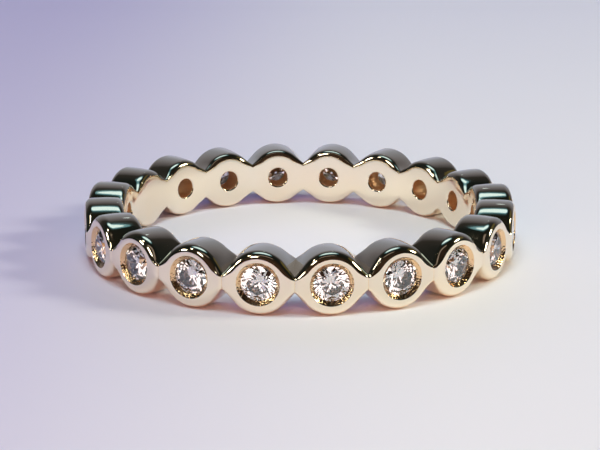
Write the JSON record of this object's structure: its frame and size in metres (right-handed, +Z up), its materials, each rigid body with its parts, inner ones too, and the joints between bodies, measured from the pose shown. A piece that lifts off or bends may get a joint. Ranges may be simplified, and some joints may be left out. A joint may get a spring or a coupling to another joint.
{
  "type": "stacking ring",
  "caption": "Full-circle stacking ring of round settings joined by narrow necks, each with a brilliant-cut stone, lying on its side.",
  "frame": {"origin": "on the finger hole's axis, at the level of the surface that the ring lies on", "axes": "+Z up along the finger hole's axis; -Y through the neck between stone_20 and stone_01, from which the stones are counted towards +X"},
  "size_m": [0.0208, 0.0208, 0.003],
  "materials": {
    "gold": "polished",
    "stone": "cut and polished"
  },
  "bodies": {
    "root": {"band": "gold", "stone_01": "stone", "stone_02": "stone", "stone_03": "stone", "stone_04": "stone", "stone_05": "stone", "stone_06": "stone", "stone_07": "stone", "stone_08": "stone", "stone_09": "stone", "stone_10": "stone", "stone_11": "stone", "stone_12": "stone", "stone_13": "stone", "stone_14": "stone", "stone_15": "stone", "stone_16": "stone", "stone_17": "stone", "stone_18": "stone", "stone_19": "stone", "stone_20": "stone"}
  },
  "joints": []
}
